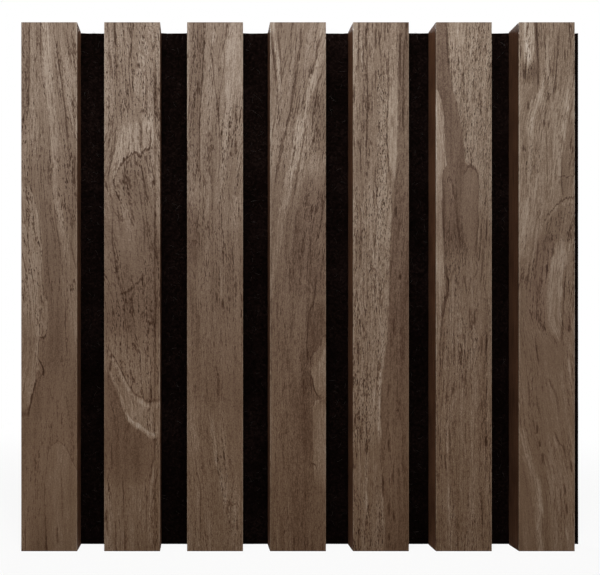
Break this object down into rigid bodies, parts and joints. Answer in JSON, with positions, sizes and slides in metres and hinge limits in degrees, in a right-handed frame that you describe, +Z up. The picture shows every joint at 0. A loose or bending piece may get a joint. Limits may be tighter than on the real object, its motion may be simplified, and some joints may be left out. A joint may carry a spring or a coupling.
{
  "type": "acoustic slat wall panel",
  "caption": "Wall panel of upright veneered wooden slats on a black felt board, whose edge laps under the joint with the next panel.",
  "frame": {"origin": "middle of the felt board's back face, which lies on the wall", "axes": "+X to the right seen from the front, across the slats; +Y into the wall, so the slats face -Y; +Z up along the slats"},
  "size_m": [0.275, 0.021, 0.255],
  "materials": {
    "veneer": "walnut veneer with a semi-matte lacquer",
    "core": "brown dyed fibreboard, sawn",
    "felt": "black pressed felt, matt and fibrous",
    "staple_wire": "zinc-coated flat wire"
  },
  "bodies": {
    "root": {"slat_1_core": "core", "slat_1_veneer": "veneer", "slat_2_core": "core", "slat_2_veneer": "veneer", "slat_3_core": "core", "slat_3_veneer": "veneer", "slat_4_core": "core", "slat_4_veneer": "veneer", "slat_5_core": "core", "slat_5_veneer": "veneer", "slat_6_core": "core", "slat_6_veneer": "veneer", "slat_7_core": "core", "slat_7_veneer": "veneer", "felt_backing": "felt", "staples": "staple_wire"}
  },
  "joints": []
}
